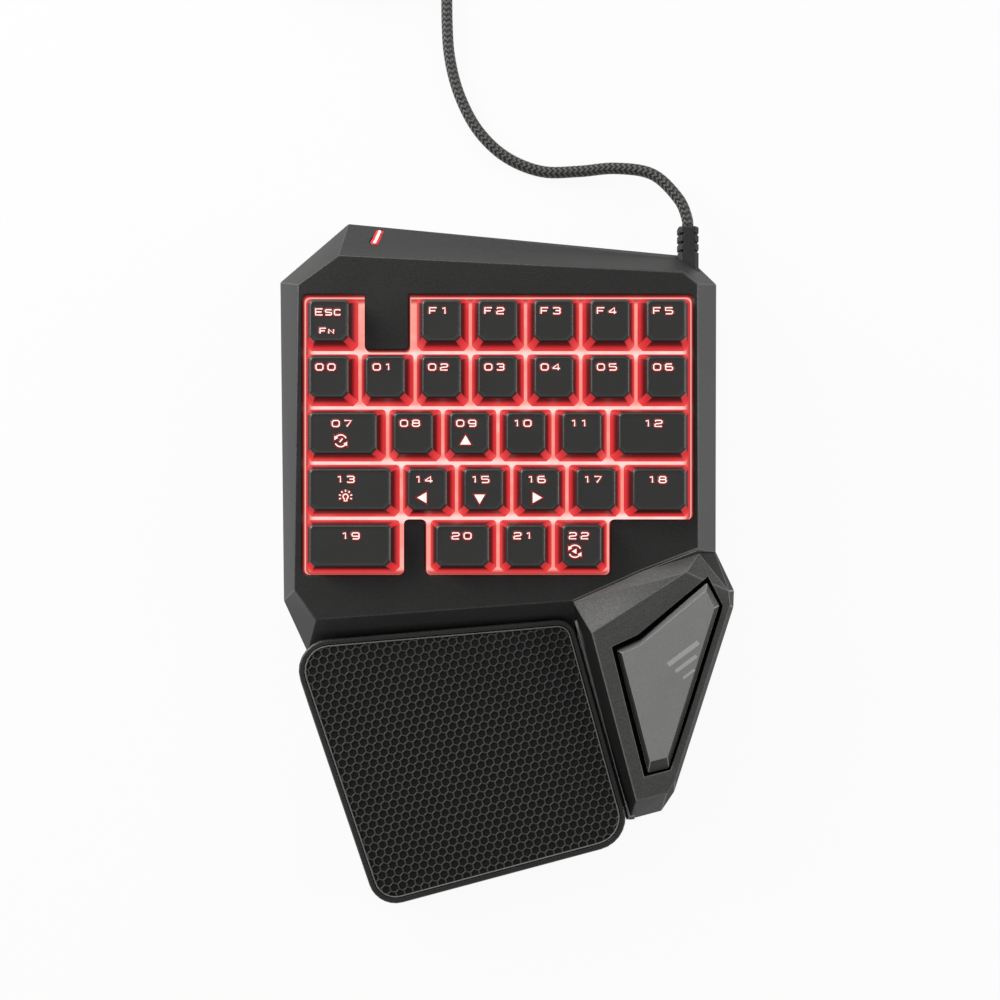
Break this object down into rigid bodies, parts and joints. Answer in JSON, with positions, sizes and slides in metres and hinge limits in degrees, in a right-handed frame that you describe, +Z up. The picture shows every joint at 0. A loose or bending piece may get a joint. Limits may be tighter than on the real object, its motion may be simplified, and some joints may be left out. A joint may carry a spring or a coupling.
{
  "type": "one-handed mechanical gaming keypad",
  "caption": "One-handed mechanical gaming keypad with backlit keys in a faceted housing, a thumb key, a sliding honeycomb palm rest and a braided USB cord.",
  "frame": {"origin": "on the desk under the middle of the keypad and palm rest, without the cord", "axes": "+X to the right hand side, +Y away from the user towards the cord, +Z up"},
  "size_m": [0.174, 0.4401, 0.0275],
  "materials": {
    "housing": "fine-grained matt charcoal",
    "lower_housing": "matt black moulding",
    "keycap": "satin charcoal with lit legends",
    "thumb_key": "satin mid grey",
    "light_deck": "bright deck lit red from the switches",
    "board": "green circuit board",
    "switch": "black switch housing",
    "light_lens": "clear lens lit red",
    "rest_shell": "satin charcoal",
    "rest_pad": "matt rubber with a raised honeycomb",
    "plug_plastic": "matt black moulding",
    "plug_metal": "plated steel",
    "cord_braid": "dark braided sleeve",
    "foot_rubber": "black rubber",
    "screw_steel": "plated screw"
  },
  "bodies": {
    "housing": {"bottom_cover": "lower_housing", "circuit_board": "board", "cord_coil": "cord_braid", "cord_lead": "cord_braid", "foot_front_left": "foot_rubber", "foot_front_middle": "foot_rubber", "foot_rear_left": "foot_rubber", "foot_rear_right": "foot_rubber", "foot_thumb": "foot_rubber", "screw_front_left": "screw_steel", "screw_front_right": "screw_steel", "screw_rear_left": "screw_steel", "screw_rear_right": "screw_steel", "screw_thumb": "screw_steel", "status_light": "light_lens", "strain_relief": "plug_plastic", "switch_plate": "light_deck", "thumb_board": "board", "thumb_switch": "switch", "top_cover": "housing", "usb_plug_body": "plug_plastic", "usb_plug_shell": "plug_metal", "usb_plug_tongue": "plug_plastic"},
    "thumb_key": {"thumb_key": "thumb_key"},
    "palm_rest": {"palm_rest_base": "rest_shell", "palm_rest_bottom": "lower_housing", "palm_rest_pad": "rest_pad", "rest_foot_left": "foot_rubber", "rest_foot_right": "foot_rubber", "rest_screw_left": "screw_steel", "rest_screw_right": "screw_steel"},
    "key_00": {"key_00": "keycap"},
    "key_01": {"key_01": "keycap"},
    "key_02": {"key_02": "keycap"},
    "key_03": {"key_03": "keycap"},
    "key_04": {"key_04": "keycap"},
    "key_05": {"key_05": "keycap"},
    "key_06": {"key_06": "keycap"},
    "key_07": {"key_07": "keycap"},
    "key_08": {"key_08": "keycap"},
    "key_09": {"key_09": "keycap"},
    "key_10": {"key_10": "keycap"},
    "key_11": {"key_11": "keycap"},
    "key_12": {"key_12": "keycap"},
    "key_13": {"key_13": "keycap"},
    "key_14": {"key_14": "keycap"},
    "key_15": {"key_15": "keycap"},
    "key_16": {"key_16": "keycap"},
    "key_17": {"key_17": "keycap"},
    "key_18": {"key_18": "keycap"},
    "key_19": {"key_19": "keycap"},
    "key_20": {"key_20": "keycap"},
    "key_21": {"key_21": "keycap"},
    "key_22": {"key_22": "keycap"},
    "key_esc": {"key_esc": "keycap"},
    "key_f1": {"key_f1": "keycap"},
    "key_f2": {"key_f2": "keycap"},
    "key_f3": {"key_f3": "keycap"},
    "key_f4": {"key_f4": "keycap"},
    "key_f5": {"key_f5": "keycap"}
  },
  "joints": [
    {"name": "thumb_key_travel", "type": "slide", "parent": "housing", "child": "thumb_key", "axis": [0, 0, -1], "range_m": [0, 0.003], "stiffness_N_per_m": 150, "springref_m": -0.003},
    {"name": "palm_rest_slide", "type": "slide", "parent": "housing", "child": "palm_rest", "axis": [0.2334, -0.9724, 0], "range_m": [0, 0.01]},
    {"name": "key_00_travel", "type": "slide", "parent": "housing", "child": "key_00", "axis": [0, 0, -1], "range_m": [0, 0.004], "stiffness_N_per_m": 100, "springref_m": -0.003},
    {"name": "key_01_travel", "type": "slide", "parent": "housing", "child": "key_01", "axis": [0, 0, -1], "range_m": [0, 0.004], "stiffness_N_per_m": 100, "springref_m": -0.003},
    {"name": "key_02_travel", "type": "slide", "parent": "housing", "child": "key_02", "axis": [0, 0, -1], "range_m": [0, 0.004], "stiffness_N_per_m": 100, "springref_m": -0.003},
    {"name": "key_03_travel", "type": "slide", "parent": "housing", "child": "key_03", "axis": [0, 0, -1], "range_m": [0, 0.004], "stiffness_N_per_m": 100, "springref_m": -0.003},
    {"name": "key_04_travel", "type": "slide", "parent": "housing", "child": "key_04", "axis": [0, 0, -1], "range_m": [0, 0.004], "stiffness_N_per_m": 100, "springref_m": -0.003},
    {"name": "key_05_travel", "type": "slide", "parent": "housing", "child": "key_05", "axis": [0, 0, -1], "range_m": [0, 0.004], "stiffness_N_per_m": 100, "springref_m": -0.003},
    {"name": "key_06_travel", "type": "slide", "parent": "housing", "child": "key_06", "axis": [0, 0, -1], "range_m": [0, 0.004], "stiffness_N_per_m": 100, "springref_m": -0.003},
    {"name": "key_07_travel", "type": "slide", "parent": "housing", "child": "key_07", "axis": [0, 0, -1], "range_m": [0, 0.004], "stiffness_N_per_m": 100, "springref_m": -0.003},
    {"name": "key_08_travel", "type": "slide", "parent": "housing", "child": "key_08", "axis": [0, 0, -1], "range_m": [0, 0.004], "stiffness_N_per_m": 100, "springref_m": -0.003},
    {"name": "key_09_travel", "type": "slide", "parent": "housing", "child": "key_09", "axis": [0, 0, -1], "range_m": [0, 0.004], "stiffness_N_per_m": 100, "springref_m": -0.003},
    {"name": "key_10_travel", "type": "slide", "parent": "housing", "child": "key_10", "axis": [0, 0, -1], "range_m": [0, 0.004], "stiffness_N_per_m": 100, "springref_m": -0.003},
    {"name": "key_11_travel", "type": "slide", "parent": "housing", "child": "key_11", "axis": [0, 0, -1], "range_m": [0, 0.004], "stiffness_N_per_m": 100, "springref_m": -0.003},
    {"name": "key_12_travel", "type": "slide", "parent": "housing", "child": "key_12", "axis": [0, 0, -1], "range_m": [0, 0.004], "stiffness_N_per_m": 100, "springref_m": -0.003},
    {"name": "key_13_travel", "type": "slide", "parent": "housing", "child": "key_13", "axis": [0, 0, -1], "range_m": [0, 0.004], "stiffness_N_per_m": 100, "springref_m": -0.003},
    {"name": "key_14_travel", "type": "slide", "parent": "housing", "child": "key_14", "axis": [0, 0, -1], "range_m": [0, 0.004], "stiffness_N_per_m": 100, "springref_m": -0.003},
    {"name": "key_15_travel", "type": "slide", "parent": "housing", "child": "key_15", "axis": [0, 0, -1], "range_m": [0, 0.004], "stiffness_N_per_m": 100, "springref_m": -0.003},
    {"name": "key_16_travel", "type": "slide", "parent": "housing", "child": "key_16", "axis": [0, 0, -1], "range_m": [0, 0.004], "stiffness_N_per_m": 100, "springref_m": -0.003},
    {"name": "key_17_travel", "type": "slide", "parent": "housing", "child": "key_17", "axis": [0, 0, -1], "range_m": [0, 0.004], "stiffness_N_per_m": 100, "springref_m": -0.003},
    {"name": "key_18_travel", "type": "slide", "parent": "housing", "child": "key_18", "axis": [0, 0, -1], "range_m": [0, 0.004], "stiffness_N_per_m": 100, "springref_m": -0.003},
    {"name": "key_19_travel", "type": "slide", "parent": "housing", "child": "key_19", "axis": [0, 0, -1], "range_m": [0, 0.004], "stiffness_N_per_m": 100, "springref_m": -0.003},
    {"name": "key_20_travel", "type": "slide", "parent": "housing", "child": "key_20", "axis": [0, 0, -1], "range_m": [0, 0.004], "stiffness_N_per_m": 100, "springref_m": -0.003},
    {"name": "key_21_travel", "type": "slide", "parent": "housing", "child": "key_21", "axis": [0, 0, -1], "range_m": [0, 0.004], "stiffness_N_per_m": 100, "springref_m": -0.003},
    {"name": "key_22_travel", "type": "slide", "parent": "housing", "child": "key_22", "axis": [0, 0, -1], "range_m": [0, 0.004], "stiffness_N_per_m": 100, "springref_m": -0.003},
    {"name": "key_esc_travel", "type": "slide", "parent": "housing", "child": "key_esc", "axis": [0, 0, -1], "range_m": [0, 0.004], "stiffness_N_per_m": 100, "springref_m": -0.003},
    {"name": "key_f1_travel", "type": "slide", "parent": "housing", "child": "key_f1", "axis": [0, 0, -1], "range_m": [0, 0.004], "stiffness_N_per_m": 100, "springref_m": -0.003},
    {"name": "key_f2_travel", "type": "slide", "parent": "housing", "child": "key_f2", "axis": [0, 0, -1], "range_m": [0, 0.004], "stiffness_N_per_m": 100, "springref_m": -0.003},
    {"name": "key_f3_travel", "type": "slide", "parent": "housing", "child": "key_f3", "axis": [0, 0, -1], "range_m": [0, 0.004], "stiffness_N_per_m": 100, "springref_m": -0.003},
    {"name": "key_f4_travel", "type": "slide", "parent": "housing", "child": "key_f4", "axis": [0, 0, -1], "range_m": [0, 0.004], "stiffness_N_per_m": 100, "springref_m": -0.003},
    {"name": "key_f5_travel", "type": "slide", "parent": "housing", "child": "key_f5", "axis": [0, 0, -1], "range_m": [0, 0.004], "stiffness_N_per_m": 100, "springref_m": -0.003}
  ]
}
